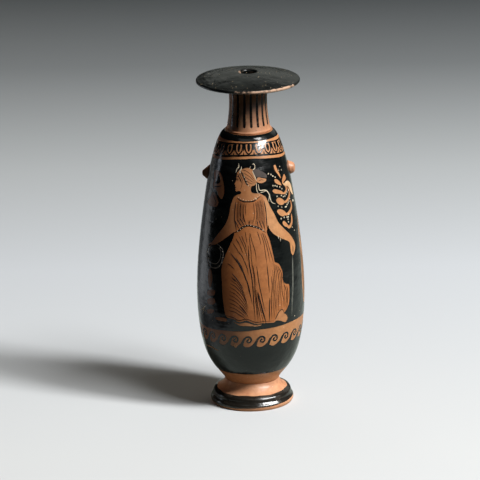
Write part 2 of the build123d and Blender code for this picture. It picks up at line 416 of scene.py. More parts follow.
def cut(shapes, thickness=coat_thickness, step=(1.5, 2.0), seam=None):
    """A coat cut out along outlines: shapes are (outline, painted) in the order they were drawn, each over
    the last. Gives the points and faces of the painted parts as a thin closed plate, joined to itself where
    the ground meets at seam."""
    coords, loops = [], []
    for outline, _ in shapes:
        x, y = outline.T
        area = np.sum(x * np.roll(y, -1) - y * np.roll(x, -1))
        outline = outline if area > 0 else outline[::-1]
        loops.append(list(range(len(coords), len(coords) + len(outline))))
        coords += [Vector(p) for p in outline]
    low = np.min([outline.min(0) for outline, _ in shapes], 0)
    high = np.max([outline.max(0) for outline, _ in shapes], 0)
    for x in np.arange(low[0] + step[0] / 2, high[0], step[0]):
        coords += [Vector((x, y)) for y in np.arange(low[1] + step[1] / 2, high[1], step[1])]
    spots, _, faces, _, _, origins = geometry.delaunay_2d_cdt(coords, [], loops, 0, 1e-5)
    kept = [list(f) for f, owners in zip(faces, origins) if owners and shapes[max(owners)][1]]
    place = {}
    if seam:
        left = {round(v.y, 3): i for i, v in enumerate(spots) if abs(v.x + seam) < 1e-4}
        right = [(i, round(v.y, 3)) for i, v in enumerate(spots) if abs(v.x - seam) < 1e-4]
        place = {i: left[height] for i, height in right if height in left}
    kept = [[place.get(i, i) for i in f] for f in kept]
    used = sorted({i for f in kept for i in f})
    number = {i: n for n, i in enumerate(used)}
    kept = [[number[i] for i in f] for f in kept]
    half = len(used)
    points = [(spots[i].x, spots[i].y, z) for z in (thickness, -coat_bite) for i in used]
    directed = {(f[k], f[(k + 1) % 3]) for f in kept for k in range(3)}
    walls = [[half + a, half + b, b, a] for a, b in sorted(directed) if (b, a) not in directed]
    return points, kept + [[half + i for i in reversed(f)] for f in kept] + walls


def coat_tree(name, start, **sizes):
    """A new node tree that grows a coat: its inputs are what it starts from, its sizes and its paint."""
    tree = bpy.data.node_groups.new(name, "GeometryNodeTree")
    for label, kind in ((start, "Geometry"), *sizes.items(), ("Paint", "Material")):
        tree.interface.new_socket(
            label.replace("_", " "), in_out="INPUT", socket_type="NodeSocket" + kind)
    tree.interface.new_socket("Coat", in_out="OUTPUT", socket_type="NodeSocketGeometry")
    return tree, add(tree, "NodeGroupInput").outputs


def paint_tree(tree, coat, paint):
    """Ends a coat's tree: instances made real, painted, and handed out."""
    real = add(tree, "GeometryNodeRealizeInstances", {"Geometry": coat})
    painted = add(tree, "GeometryNodeSetMaterial", {"Geometry": real, "Material": paint})
    add(tree, "NodeGroupOutput", {"Coat": painted})


repeat, given = coat_tree(
    "repeat_motif_round_the_pot", "Motif",
    Count="Int", Way_Round="Float", First="Float", Rise="Float", Sag="Float", Slip="Float")
pitch = add(repeat, "ShaderNodeMath", {0: given["Way Round"], 1: given["Count"]}, operation="DIVIDE")
start = add(repeat, "ShaderNodeCombineXYZ", {"X": given["First"]})
stride = add(repeat, "ShaderNodeCombineXYZ", {"X": pitch})
row = add(
    repeat, "GeometryNodeMeshLine", {"Count": given["Count"], "Start Location": start, "Offset": stride},
    mode="OFFSET")
spot = add(repeat, "ShaderNodeSeparateXYZ", {"Vector": add(repeat, "GeometryNodeInputPosition")})
share = add(repeat, "ShaderNodeMath", {0: spot.outputs["X"], 1: given["Way Round"]}, operation="DIVIDE")
turn = add(repeat, "ShaderNodeMath", {0: share, 1: 2 * math.pi}, operation="MULTIPLY")
lift = add(repeat, "ShaderNodeMath", {0: turn}, operation="SINE")
lifted = add(repeat, "ShaderNodeMath", {0: lift, 1: given["Rise"]}, operation="MULTIPLY")
twice = add(repeat, "ShaderNodeMath", {0: turn, 1: 2.0}, operation="MULTIPLY")
hang = add(repeat, "ShaderNodeMath", {0: twice}, operation="COSINE")
drop = add(repeat, "ShaderNodeMath", {0: hang, 1: 1.0}, operation="SUBTRACT")
moved = add(repeat, "ShaderNodeMath", {0: drop, 1: given["Sag"], 2: lifted}, operation="MULTIPLY_ADD")
slack = add(repeat, "FunctionNodeRandomValue", {2: -1.0, 3: 1.0, "Seed": 4}, data_type="FLOAT")
aside = add(repeat, "ShaderNodeMath", {0: slack, 1: given["Slip"]}, operation="MULTIPLY")
shift = add(repeat, "ShaderNodeCombineXYZ", {"X": aside, "Y": moved})
hung = add(repeat, "GeometryNodeSetPosition", {"Geometry": row, "Offset": shift})
placed = add(repeat, "GeometryNodeInstanceOnPoints", {"Points": hung, "Instance": given["Motif"]})
paint_tree(repeat, placed, given["Paint"])


def grown(name, start, tree, **sizes):
    """The plain mesh that a node tree grows from a drawn mesh or curve; sizes are the tree's inputs."""
    source = bpy.data.objects.new(name + "_drawn", start)
    grower = source.modifiers.new("grow", "NODES")
    grower.node_group = tree
    for item in tree.interface.items_tree:
        label = item.name.replace(" ", "_").lower()
        if item.in_out == "INPUT" and label in sizes:
            grower[item.identifier] = sizes[label]
    bpy.context.scene.collection.objects.link(source)
    mesh = bpy.data.meshes.new_from_object(source.evaluated_get(bpy.context.evaluated_depsgraph_get()))
    mesh.name = name
    source.modifiers.remove(grower)
    bpy.data.objects.remove(source)
    return mesh


def repeated(
        name, wall, spread, shapes, count, first, rise=0.0, sag=0.0, thickness=coat_thickness, slip=0.0,
        bare=(), paint=gloss):
    """One motif drawn round its own middle, repeated round a wall; first is the angle of one of them, slip
    how far the hand may miss its place, and bare are outlines left without paint."""
    outlines = [(shape, True) for shape in shapes] + [(shape, False) for shape in bare]
    motif = plain_mesh(name + "_motif", [cut(outlines, thickness, (0.8, 1.2))], paint)
    way = 2 * math.pi * spread
    begin = math.radians((first + 180) % (360 / count) - 180) * spread
    mesh = grown(
        name, motif, repeat, count=count, way_round=way, first=begin, rise=rise, sag=sag, slip=slip,
        paint=paint)
    lay_on(wall, spread, mesh, name)


full_coat = 0.085
neck_spread, egg_spread = 11.4, 18.2
neck_ring = ring((189.4, 191.2), neck_spread, (0.2, 0.0), rows=4, wobble=0.12)
coat_piece("neck_gloss_ring", neck_wall, neck_spread, [neck_ring], gloss)
neck_stroke = brush([(0, 191.1), (0.05, 185), (-0.05, 176), (0.05, 169.6)], [1.2, 1.35, 1.5, 1.35])
repeated(
    "neck_gloss_strokes", neck_wall, neck_spread, [neck_stroke], count=18, first=7.4, slip=0.25,
    paint=thin_gloss)

egg_line = brush(
    [(-2.0, 161.2), (-2.05, 159.3), (-1.5, 157.0), (0.0, 155.75), (1.5, 157.0), (2.05, 159.3),
     (2.0, 161.2)],
    [0.7, 0.75, 0.75, 0.8, 0.75, 0.75, 0.7], 0.3)
egg_core = brush([(0, 160.8), (0.05, 159.3), (-0.05, 157.3)], [1.4, 1.9, 0.8], 0.3)
egg_gap = brush([(2.86, 161.2), (2.86, 159.6), (2.86, 157.9)], [1.5, 1.3, 0.5], 0.3)
egg_dart = brush([(2.86, 155.3), (2.86, 156.2), (2.86, 156.9)], [0.9, 0.5, 0.2], 0.3)
egg = [egg_line, egg_core, egg_gap, egg_dart]
repeated(
    "egg_pattern_gloss", body_wall, egg_spread, egg, count=20, first=0.0, rise=0.3, sag=1.05,
    thickness=full_coat, slip=0.2)

wave = brush(
    [(-3.9, 41.0), (-2.9, 42.7), (-2.1, 44.6), (-1.2, 46.7), (0.2, 48.1), (1.6, 48.2), (2.55, 47.1),
     (2.5, 45.6), (1.6, 44.7), (0.6, 45.0), (0.4, 46.0), (1.1, 46.5)],
    [3.3, 2.2, 1.55, 1.2, 1.05, 1.0, 0.95, 0.9, 0.8, 0.8, 0.9, 1.0], 0.35)
cup_edge = [
    (3.9, 44.2), (2.9, 42.9), (1.7, 42.0), (0.3, 41.7), (-1.0, 42.0), (-2.0, 42.8), (-2.6, 44.0),
    (-3.9, 43.6)]
cup = np.vstack([[(-4, 41.0), (4, 41.0)], smooth(cup_edge)])
wave_count = 24
wave_pitch = 2 * math.pi * body_spread / wave_count
# a motif ends half a pitch to each side, so what its brush strokes reach beyond that is left bare
beyond = 7
beside = [
    np.array([(x, 36), (x + beyond, 36), (x + beyond, 52), (x, 52)])
    for x in (-wave_pitch / 2 - beyond, wave_pitch / 2)]
waves = [wave, wave + (wave_pitch, 0), cup]
repeated(
    "running_wave_gloss", body_wall, body_spread, waves, count=wave_count, first=9.4, thickness=full_coat,
    bare=beside)


# Figure panel: the black ground
# The painter outlined the figures and the plants and filled in the ground between with black gloss,
# so that they stand reserved in the clay. The ground runs from the shoulder lines to the wave band.

mm_round = body_spread * math.pi / 180


def flat(points):
    """Given points (degrees right of the front, mm up) on the flat drawing."""
    return np.array([(a * mm_round, z) for a, z in points])


def drawn(points):
    """A closed flowing outline through given points."""
    return smooth(flat(points), True)


def leaf(root, tip, width):
    """A pointed leaf from its root to its tip, widest past the middle."""
    root, tip = flat([root, tip])
    line = tip - root
    side = np.array((-line[1], line[0])) / np.linalg.norm(line) * width / 2
    rows = [(0.0, 0.15), (0.2, 0.6), (0.45, 0.95), (0.65, 0.95), (0.85, 0.55), (1.0, 0.0)]
    edge = [root + line * t + side * w for t, w in rows]
    edge += [root + line * t - side * w for t, w in reversed(rows[:-1])]
    return smooth(edge, True)


draped_figure = drawn([
    (4.8, 146.9), (-1.5, 148.1), (-8.7, 147.6), (-14.5, 146.6), (-17.6, 145.2), (-18.4, 144.1),
    (-18.6, 142.6), (-18.2, 141.5), (-19.4, 140.0), (-21.0, 138.7), (-19.6, 138.1), (-19.9, 137.5),
    (-19.2, 136.9), (-19.7, 136.3), (-18.8, 135.8), (-19.2, 135.1), (-17.6, 134.5), (-14.5, 134.9),
    (-11.8, 134.6), (-11.2, 133.9), (-12.2, 133.2), (-15.2, 132.9), (-19.8, 131.7), (-22.3, 129.7),
    (-24.4, 127.0), (-25.6, 124.0), (-26.1, 121.7), (-29.0, 116.8), (-33.0, 113.3), (-38.0, 110.3),
    (-43.2, 106.9), (-48.7, 103.4), (-52.5, 101.9), (-55.5, 101.0), (-55.0, 99.6), (-51.5, 99.9),
    (-49.4, 101.0), (-43.3, 102.1), (-37.0, 104.2), (-32.0, 106.0), (-26.4, 108.2), (-20.2, 110.7),
    (-18.6, 110.9), (-20.1, 107.5), (-23.6, 103.3), (-27.6, 98.5), (-30.8, 94.2), (-33.4, 88.6),
    (-32.5, 81.3), (-31.4, 72.7), (-29.9, 65.8), (-28.4, 61.2), (-26.1, 59.7), (-19.0, 59.0),
    (-13.5, 57.5), (-4.8, 58.5), (-0.8, 57.7), (3.9, 56.6), (11.2, 56.6), (15.3, 56.6), (22.4, 56.3),
    (25.3, 56.3), (27.5, 57.2), (33.0, 56.7), (39.8, 55.0), (42.8, 57.1), (41.5, 59.0), (39.5, 60.2),
    (37.0, 61.0), (37.8, 61.2), (39.5, 61.8), (42.2, 63.8), (44.5, 65.8), (45.5, 72.5), (45.0, 77.5),
    (40.5, 78.4), (37.0, 81.4), (37.0, 85.2), (35.0, 89.1), (32.0, 91.6), (28.0, 92.6), (26.6, 96.5),
    (25.0, 101.2), (22.8, 106.5), (20.2, 110.4), (20.8, 112.4), (22.4, 114.7), (23.6, 112.6),
    (27.8, 109.6), (34.5, 107.0), (43.8, 104.3), (51.2, 102.0), (52.2, 98.4), (52.5, 95.6), (55.4, 93.6),
    (60.8, 96.6), (62.5, 98.8), (59.8, 102.3), (53.8, 106.3), (45.5, 110.4), (37.2, 115.0), (32.3, 120.2),
    (27.3, 125.0), (24.5, 128.2), (21.8, 131.0), (18.2, 132.3), (13.8, 133.4), (7.1, 133.6), (3.0, 134.3),
    (2.0, 136.1), (3.0, 137.6), (7.5, 138.3), (10.4, 139.8), (9.6, 142.0), (8.8, 143.3)])
hair_bun = drawn([
    (10.8, 140.2), (12.0, 142.4), (18.5, 142.0), (25.1, 141.1), (24.2, 140.2), (21.7, 139.5),
    (15.5, 139.2)])
hem_edge = drawn([
    (-19.5, 57.6), (-13.0, 56.7), (-5.0, 57.4), (3.5, 55.9), (11.0, 55.9), (10.6, 55.2), (1.8, 55.0),
    (-6.0, 55.2), (-11.6, 55.3), (-16.5, 56.4)])
forward_foot = drawn([
    (-42.7, 57.9), (-38.5, 58.8), (-35.2, 59.0), (-29.5, 59.2), (-26.8, 58.4), (-27.2, 57.2),
    (-35.4, 56.8), (-40.0, 57.0)])
hanging_strand = [
    drawn([
        (-51.4, 86.3), (-48.9, 86.8), (-45.8, 82.8), (-46.8, 77.7), (-48.7, 75.6), (-51.2, 77.1),
        (-52.8, 82.0)]),
    drawn([(-54.0, 71.3), (-51.8, 73.7), (-42.0, 74.9), (-41.2, 73.2), (-43.4, 71.6), (-51.8, 70.7)]),
    drawn([(-52.6, 68.3), (-43.4, 69.8), (-41.2, 68.6), (-42.7, 66.3), (-50.9, 65.3), (-53.6, 66.2)]),
    drawn([(-55.0, 61.2), (-45.2, 63.0), (-43.6, 61.7), (-48.7, 59.8), (-54.2, 59.4)])]
branch = [
    drawn([
        (40.9, 147.8), (44.5, 147.9), (46.2, 145.8), (49.8, 142.2), (50.8, 139.6), (46.0, 142.3),
        (41.6, 145.2)]),
    drawn([(38.1, 140.0), (42.6, 139.8), (48.4, 137.4), (49.7, 135.8), (43.1, 136.8), (38.6, 138.3)]),
    drawn([(60.2, 141.3), (63.3, 138.9), (59.9, 137.8), (52.6, 137.0), (53.4, 139.0)]),
    drawn([
        (32.6, 133.8), (35.2, 134.6), (41.9, 133.8), (49.9, 132.0), (51.2, 130.4), (42.8, 131.4),
        (35.4, 132.3)]),
    drawn([(36.9, 128.0), (40.3, 129.2), (46.3, 128.3), (51.3, 126.0), (47.7, 124.6), (40.8, 125.3)]),
    drawn([(36.5, 121.7), (39.2, 122.7), (45.7, 121.7), (51.4, 119.1), (45.6, 117.9), (39.8, 119.2)]),
    drawn([(43.4, 114.6), (45.8, 115.3), (50.1, 113.4), (54.1, 110.9), (49.8, 111.1), (45.0, 112.5)]),
    brush(
        flat([(52.5, 137.0), (58.8, 134.2), (59.3, 132.4), (54.5, 130.8), (49.5, 131.0)]),
        [0.8, 1.5, 1.7, 1.4, 0.9]),
    brush(
        flat([(63.6, 133.0), (66.0, 129.6), (62.2, 127.2), (55.5, 125.8), (49.0, 125.8)]),
        [1.0, 1.9, 2.1, 1.6, 1.2]),
    brush(
        flat([(66.0, 125.0), (66.2, 121.5), (60.5, 119.3), (53.2, 118.4), (46.5, 119.2)]),
        [1.0, 1.9, 2.1, 1.6, 1.2]),
    brush(
        flat([(62.4, 117.3), (62.0, 113.8), (58.2, 111.4), (53.4, 110.6), (49.4, 112.0)]),
        [0.9, 1.7, 1.9, 1.5, 1.0])]
pale_leaf = drawn([
    (54.1, 135.7), (61.4, 136.9), (69.2, 136.2), (76.0, 133.3), (77.4, 129.8), (77.8, 127.0),
    (70.0, 129.8), (65.8, 133.0), (59.4, 134.3)])
side_fronds = [
    drawn([
        (-59.6, 144.2), (-51.5, 144.5), (-44.7, 143.1), (-39.9, 140.0), (-36.0, 135.0), (-36.1, 131.9),
        (-38.9, 129.0), (-43.4, 129.8), (-49.6, 133.0), (-56.2, 133.9), (-59.4, 135.8), (-58.6, 139.2),
        (-62.2, 142.3)]),
    drawn([
        (-58.2, 131.5), (-51.8, 131.2), (-47.0, 129.2), (-43.9, 126.3), (-46.8, 124.0), (-53.8, 123.4),
        (-62.6, 123.3), (-68.0, 124.6), (-63.4, 127.3)])]
frond_hearts = [drawn([(-50.3, 142.6), (-54.6, 137.3), (-49.5, 137.2), (-44.6, 138.6), (-46.6, 141.0)])]

# the second figure stands wrapped in a mantle on the far right, mostly out of the camera's sight
mantled_figure = drawn([
    (116.5, 145.2), (112.0, 144.3), (109.3, 142.3), (108.3, 140.9), (108.7, 139.4), (107.6, 138.0),
    (106.2, 136.6), (107.5, 135.9), (107.3, 135.3), (108.0, 134.8), (107.5, 134.3), (108.2, 133.8),
    (107.9, 133.1), (109.3, 132.6), (112.0, 133.0), (112.2, 132.0), (110.0, 131.2), (105.1, 129.5),
    (97.8, 125.0), (87.3, 119.0), (83.0, 113.5), (79.5, 107.8), (77.0, 102.7), (75.6, 96.0), (75.0, 88.0),
    (73.8, 82.0), (73.2, 76.0), (74.4, 69.6), (76.8, 64.3), (80.0, 61.2), (86.0, 60.2), (92.0, 59.4),
    (98.0, 59.6), (104.0, 59.0), (115.0, 59.6), (121.0, 60.6), (125.0, 64.0), (127.0, 72.0),
    (128.0, 82.0), (127.5, 92.0), (127.0, 100.0), (128.5, 106.0), (128.0, 112.0), (125.0, 119.0),
    (127.8, 125.0), (127.7, 129.6), (123.0, 131.6), (119.5, 132.6), (119.0, 134.5), (122.5, 137.5),
    (123.2, 140.5), (121.0, 143.8)])
mantled_feet = [
    drawn([
        (97.0, 58.6), (93.0, 58.2), (88.0, 57.0), (90.0, 56.2), (99.0, 56.4), (103.0, 57.6),
        (102.0, 58.6)]),
    drawn([
        (110.0, 58.8), (105.5, 57.6), (104.0, 56.4), (109.0, 56.0), (117.0, 56.6), (120.0, 58.4),
        (118.0, 59.8)])]

# palmettes fill the back and the left: fans of petals over a heart, joined by tendrils
back_ornament = []
# degrees round, mm up, facing up or down, petals and mm of reach of each fan
fans = (
    (206, 92.0, 1, 11, 36.0), (206, 86.0, -1, 9, 26.0), (247, 130.0, 1, 7, 15.0),
    (160, 128.0, 1, 7, 16.0))
# what crosses the back is drawn at both ends of the flat ground, where it meets itself
both_ends = (0, 360)
for centre, base, face, count, reach in fans:
    for k in range(count):
        swing = math.radians((k - (count - 1) / 2) * 180 / count)
        width = reach * 0.165 * (0.7 + 0.3 * math.cos(swing))
        length = reach * (0.62 + 0.38 * math.cos(swing))
        aside, up = math.sin(swing) / mm_round, face * math.cos(swing)
        for turn in both_ends:
            root, tip = [(centre - turn + aside * far, base + up * far) for far in (reach * 0.16, length)]
            back_ornament.append(leaf(root, tip, width))
tendrils = (
    [(206, 89.0), (222, 84.0), (240, 80.0), (256, 86.0), (262, 98.0), (255, 107.0), (246, 105.0),
     (245, 99.0), (250, 97.5)],
    [(206, 89.0), (190, 84.0), (172, 80.0), (156, 86.0), (150, 98.0), (157, 107.0), (166, 105.0),
     (167, 99.0), (162, 97.5)],
    [(262, 99.0), (261, 110.0), (253, 120.0), (247, 128.5)],
    [(150, 99.0), (151, 110.0), (155, 119.0), (160, 126.5)],
    [(222, 83.0), (232, 72.0), (243, 64.0), (256, 62.0), (262, 68.0), (257, 73.0)],
    [(190, 83.0), (180, 72.0), (169, 64.0), (156, 62.0), (150, 68.0), (155, 73.0)])
for path in tendrils:
    widths = np.linspace(1.5, 0.9, len(path))
    back_ornament += [brush(flat([(a - turn, z) for a, z in path]), widths) for turn in both_ends]

half_round = 180 * mm_round
turn = np.radians(np.linspace(-180, 180, 181))
# both edges tilt, the top one also hangs at the sides, and the brush wavers along them
foot_height = 52.3 + 2.4 * np.sin(turn) + 0.10 * np.sin(9 * turn)
top_height = 153.1 + 0.4 * np.sin(turn) + 1.4 * (np.cos(2 * turn) - 1) + 0.08 * np.sin(11 * turn)
ground_foot = np.stack([turn * body_spread, foot_height], 1)
ground_top = np.stack([turn * body_spread, top_height], 1)
uprights = np.arange(54.0, 152.0, 2.0)
right_edge = np.stack([np.full(len(uprights), half_round), uprights], 1)
ground = np.vstack([ground_foot, right_edge, ground_top[::-1], (right_edge * (-1, 1))[::-1]])
reserved = [draped_figure, hair_bun, hem_edge, forward_foot, pale_leaf, mantled_figure]
reserved += mantled_feet + hanging_strand + branch + side_fronds + back_ornament
shapes = [(ground, True)] + [(s, False) for s in reserved] + [(s, True) for s in frond_hearts]
coat_piece(
    "panel_gloss_ground", body_wall, body_spread, [cut(shapes, seam=half_round)], gloss)


# Drawing in black and in thinned gloss
# Folds, hair, faces and edges are drawn on the reserved clay: the strong lines in thick black gloss that
# stands up as relief, the fine ones in the same slip thinned with water, which fires brown.

lining, given = coat_tree("brush_line_along_a_path", "Paths", Sides="Int", Fullness="Float")
level = add(lining, "GeometryNodeSetCurveNormal", {"Curve": given["Paths"]}, mode="Z_UP")
round_section = add(
    lining, "GeometryNodeCurvePrimitiveCircle", {"Resolution": given["Sides"], "Radius": 1.0})
squeeze = add(lining, "ShaderNodeCombineXYZ", {"X": 1.0, "Y": given["Fullness"], "Z": 1.0})
section = add(lining, "GeometryNodeTransform", {"Geometry": round_section, "Scale": squeeze})
breadth = add(lining, "GeometryNodeInputRadius")
swept = add(
    lining, "GeometryNodeCurveToMesh",
    {"Curve": level, "Profile Curve": section, "Scale": breadth, "Fill Caps": True})
paint_tree(lining, swept, given["Paint"])


def brush_lines(name, strokes, paint, lift):
    """Brush lines as one piece: strokes are (points, mm of width), on a coat lift mm thick."""
    paths = bpy.data.curves.new(name, "CURVE")
    paths.dimensions = "3D"
    for points, width in strokes:
        line = smooth(flat(points), step=0.7)
        spline = paths.splines.new("POLY")
        spline.points.add(len(line) - 1)
        for k, (point, place) in enumerate(zip(spline.points, line)):
            # the brush lands at half its breadth, fills out, and lifts off at a quarter
            share = k / (len(line) - 1)
            point.co = (place[0], place[1], lift, 1.0)
            point.radius = width / 2 * min(1.0, 0.45 + 4 * share, 0.25 + 3 * (1 - share))
    mesh = grown(name, paths, lining, sides=6, fullness=0.28, paint=paint)
    lay_on(body_wall, body_spread, mesh, name, even=False)


def between(first, last, count):
    """Lines spaced evenly between two drawn lines."""
    ends = [smooth(np.asarray(line, float), step=1.0) for line in (first, last)]
    stations = 8
    ends = [line[np.linspace(0, len(line) - 1, stations).round().astype(int)] for line in ends]
    return [ends[0] + (ends[1] - ends[0]) * k / (count + 1) for k in range(1, count + 1)]


middle_fold = [
    (-2.1, 103.5), (-1.8, 98.0), (-1.1, 92.2), (0.7, 86.7), (1.9, 81.2), (2.5, 75.6), (3.1, 68.7),
    (4.2, 58.2)]
front_fold = [(7.7, 75.9), (8.7, 72.4), (10.5, 68.5), (11.9, 64.9), (13.8, 61.4), (16.4, 55.4)]
leg_back = [(6.7, 91.2), (7.8, 86.1), (8.7, 81.8), (9.7, 78.4), (11.1, 74.5), (12.4, 70.5), (15.0, 63.9)]
swung_fold = [
    (-22.4, 98.4), (-18.1, 96.0), (-13.8, 93.3), (-10.6, 90.4), (-7.5, 87.1), (-3.6, 81.6), (-1.1, 75.6),
    (1.4, 68.7)]
low_fold = [(-20.6, 86.7), (-16.1, 84.3), (-12.9, 81.9), (-9.8, 79.4), (-7.5, 77.3)]
leg_side = [(20.4, 71.8), (19.9, 66.7), (19.9, 62.3), (19.7, 57.5)]
relief = [
    # skirt folds: they fall from the belt and swing to the middle of the hem
    (middle_fold, 0.62), (front_fold, 0.8), (leg_back, 0.52), (swung_fold, 0.75), (low_fold, 0.6),
    (leg_side, 0.6),
    ([(-13.2, 99.6), (-9.8, 97.6), (-7.0, 94.7), (-5.0, 92.2), (-3.5, 89.7), (-2.4, 86.3)], 0.5),
    ([(-13.4, 109.2), (-10.8, 106.7), (-8.7, 104.7), (-6.6, 102.2), (-5.0, 99.7), (-3.8, 97.2),
      (-3.0, 94.3)], 0.42),
    ([(-20.2, 83.9), (-18.1, 83.0), (-16.1, 82.0)], 0.55),
    ([(18.4, 91.6), (19.2, 85.6), (19.6, 80.5), (20.0, 74.9)], 0.5),
    # neckline, belt, sides of the bodice and the gathers over the belt
    ([(-16.6, 130.8), (-10.2, 129.2), (-2.9, 128.8), (5.1, 129.1), (11.1, 130.7), (15.1, 131.8)], 0.8),
    ([(-18.6, 110.7), (-13.7, 111.9), (-8.7, 114.1), (-2.3, 115.1), (4.8, 114.5), (11.8, 113.2),
      (18.8, 110.5)], 1.2),
    ([(-18.1, 128.6), (-18.9, 123.2), (-18.9, 118.4), (-17.1, 114.3), (-16.2, 112.0)], 0.62),
    ([(18.9, 129.1), (20.6, 123.5), (20.8, 118.0), (20.9, 111.9)], 0.62),
    ([(-18.2, 117.7), (-15.2, 115.1), (-12.8, 113.0)], 0.6),
    ([(-15.9, 118.5), (-12.6, 116.4), (-9.9, 114.4)], 0.6),
    ([(-12.3, 119.2), (-9.1, 117.0), (-6.8, 115.0)], 0.6),
    ([(11.7, 117.8), (13.5, 115.0), (15.0, 112.6)], 0.6),
    ([(14.9, 117.6), (17.0, 114.8), (18.4, 111.9)], 0.6),
    ([(8.5, 117.8), (9.5, 115.8), (10.2, 113.8)], 0.5),
    # hem and trailing foot
    ([(-27.6, 60.8), (-19.0, 60.0), (-13.5, 58.5), (-4.8, 59.5), (3.9, 57.6), (15.3, 57.6),
      (25.0, 57.4)], 0.5),
    ([(26.5, 58.0), (28.5, 60.0), (31.5, 62.5), (35.0, 63.4), (37.5, 61.4)], 0.56),
    # hair band and outline of the cheek
    ([(-12.5, 146.2), (-9.4, 143.9), (-6.0, 141.2), (-3.4, 139.0), (0.5, 137.6)], 1.0),
    ([(-9.8, 140.0), (-10.8, 137.6), (-12.6, 135.8)], 0.3),
    # face: lids, eye, brow, nostril and lips, set out by the usual halves and quarters of a head
    ([(-17.7, 141.2), (-16.7, 141.8), (-15.0, 141.3)], 0.46),
    ([(-17.4, 140.95), (-16.4, 140.75), (-15.4, 141.0)], 0.3),
    ([(-16.9, 141.5), (-16.9, 141.0)], 0.5),
    ([(-18.1, 142.8), (-16.5, 143.2), (-14.2, 142.7)], 0.42),
    ([(-19.6, 138.3), (-18.8, 138.6)], 0.34),
    ([(-19.5, 136.9), (-18.0, 136.75)], 0.38),
    # mantle folds of the second figure, with its face set out in the same way
    ([(94.9, 124.0), (93.4, 118.0), (101.0, 113.0), (116.0, 110.0), (126.0, 109.0)], 0.5),
    ([(85.1, 117.0), (91.0, 110.0), (100.0, 105.0), (115.0, 102.0), (126.5, 101.0)], 0.5),
    ([(82.0, 110.0), (88.0, 103.0), (97.0, 97.0), (108.0, 94.0), (126.0, 93.0)], 0.5),
    ([(79.0, 103.0), (86.0, 95.0), (95.0, 88.0), (106.0, 84.0), (126.0, 83.0)], 0.5),
    ([(78.2, 96.0), (78.5, 86.0), (77.6, 76.0), (79.5, 64.0)], 0.42),
    ([(84.0, 92.0), (85.0, 80.0), (85.5, 68.0), (86.0, 61.0)], 0.45),
    ([(90.5, 88.5), (91.5, 78.0), (92.0, 66.0), (92.0, 60.2)], 0.45),
    ([(98.0, 84.5), (99.0, 74.0), (99.5, 60.4)], 0.5),
    ([(106.0, 81.5), (106.5, 70.0), (105.5, 60.0)], 0.45),
    ([(118.0, 80.5), (119.0, 70.0), (118.0, 60.6)], 0.45),
    ([(105.2, 129.0), (109.7, 127.0), (117.6, 128.0), (125.0, 130.8)], 0.6),
    ([(108.8, 139.1), (109.8, 139.6), (111.4, 139.1)], 0.46),
    ([(109.2, 138.8), (110.2, 138.6), (111.0, 138.8)], 0.3),
    ([(109.6, 139.3), (109.6, 138.9)], 0.5),
    ([(108.6, 140.8), (110.2, 141.1), (112.2, 140.6)], 0.42),
    ([(107.6, 134.8), (109.0, 134.7)], 0.38),
    ([(109.6, 142.4), (113.0, 140.6), (114.4, 138.2), (116.4, 136.2), (119.6, 135.6)], 0.5),
    # veins of the side fronds
    ([(-55.9, 134.8), (-48.8, 135.6), (-40.9, 136.6)], 0.6),
    ([(-56.5, 130.2), (-51.6, 128.0), (-48.2, 125.9), (-51.2, 124.4)], 0.5),
]
relief_gloss = black_gloss(
    "black_gloss_relief", tone=("#120d0a", "#2a1a10"), roughness=(0.5, 0.65), shine=0.12)
brush_lines("relief_gloss_lines", relief, relief_gloss, lift=0.015)

# the dress is tinted with the slip thinned still further, and shows browner than the arms and the face
dress = drawn([
    (-16.6, 130.8), (-10.2, 129.2), (-2.9, 128.8), (5.1, 129.1), (11.1, 130.7), (15.1, 131.8),
    (17.6, 131.0), (18.9, 129.1), (20.6, 123.5), (20.9, 118.0), (20.9, 111.9), (21.2, 108.8),
    (22.8, 106.5), (25.0, 101.2), (26.6, 96.5), (28.2, 92.8), (32.0, 91.6), (35.0, 89.1), (37.0, 85.2),
    (37.0, 81.4), (40.5, 78.4), (45.0, 77.5), (45.5, 72.5), (44.5, 65.8), (42.2, 63.8), (39.5, 61.8),
    (37.5, 61.4), (35.0, 63.4), (31.5, 62.5), (28.5, 60.0), (26.5, 58.0), (25.0, 56.6), (15.3, 56.8),
    (3.9, 56.9), (-4.8, 58.6), (-13.5, 57.8), (-19.0, 59.2), (-26.1, 59.9), (-28.4, 61.4), (-29.9, 65.8),
    (-31.4, 72.7), (-32.5, 81.3), (-33.2, 88.6), (-30.8, 94.2), (-27.6, 98.5), (-23.6, 103.3),
    (-20.1, 107.5), (-18.2, 110.7), (-16.8, 112.6), (-17.8, 115.6), (-19.0, 119.4), (-19.0, 124.0),
    (-18.3, 128.6)])
# the dress tint also carries painted shade on its left side
dress_tint = fired_clay("gloss_thinned_to_a_tint", "#c47d46", "#b56f3a", "#864e24", rub=0.3, shade_side_darkening=0.4)
tint_coat = 0.03
coat_piece(
    "dress_tint", body_wall, body_spread, [cut([(dress, True)], tint_coat)], dress_tint)

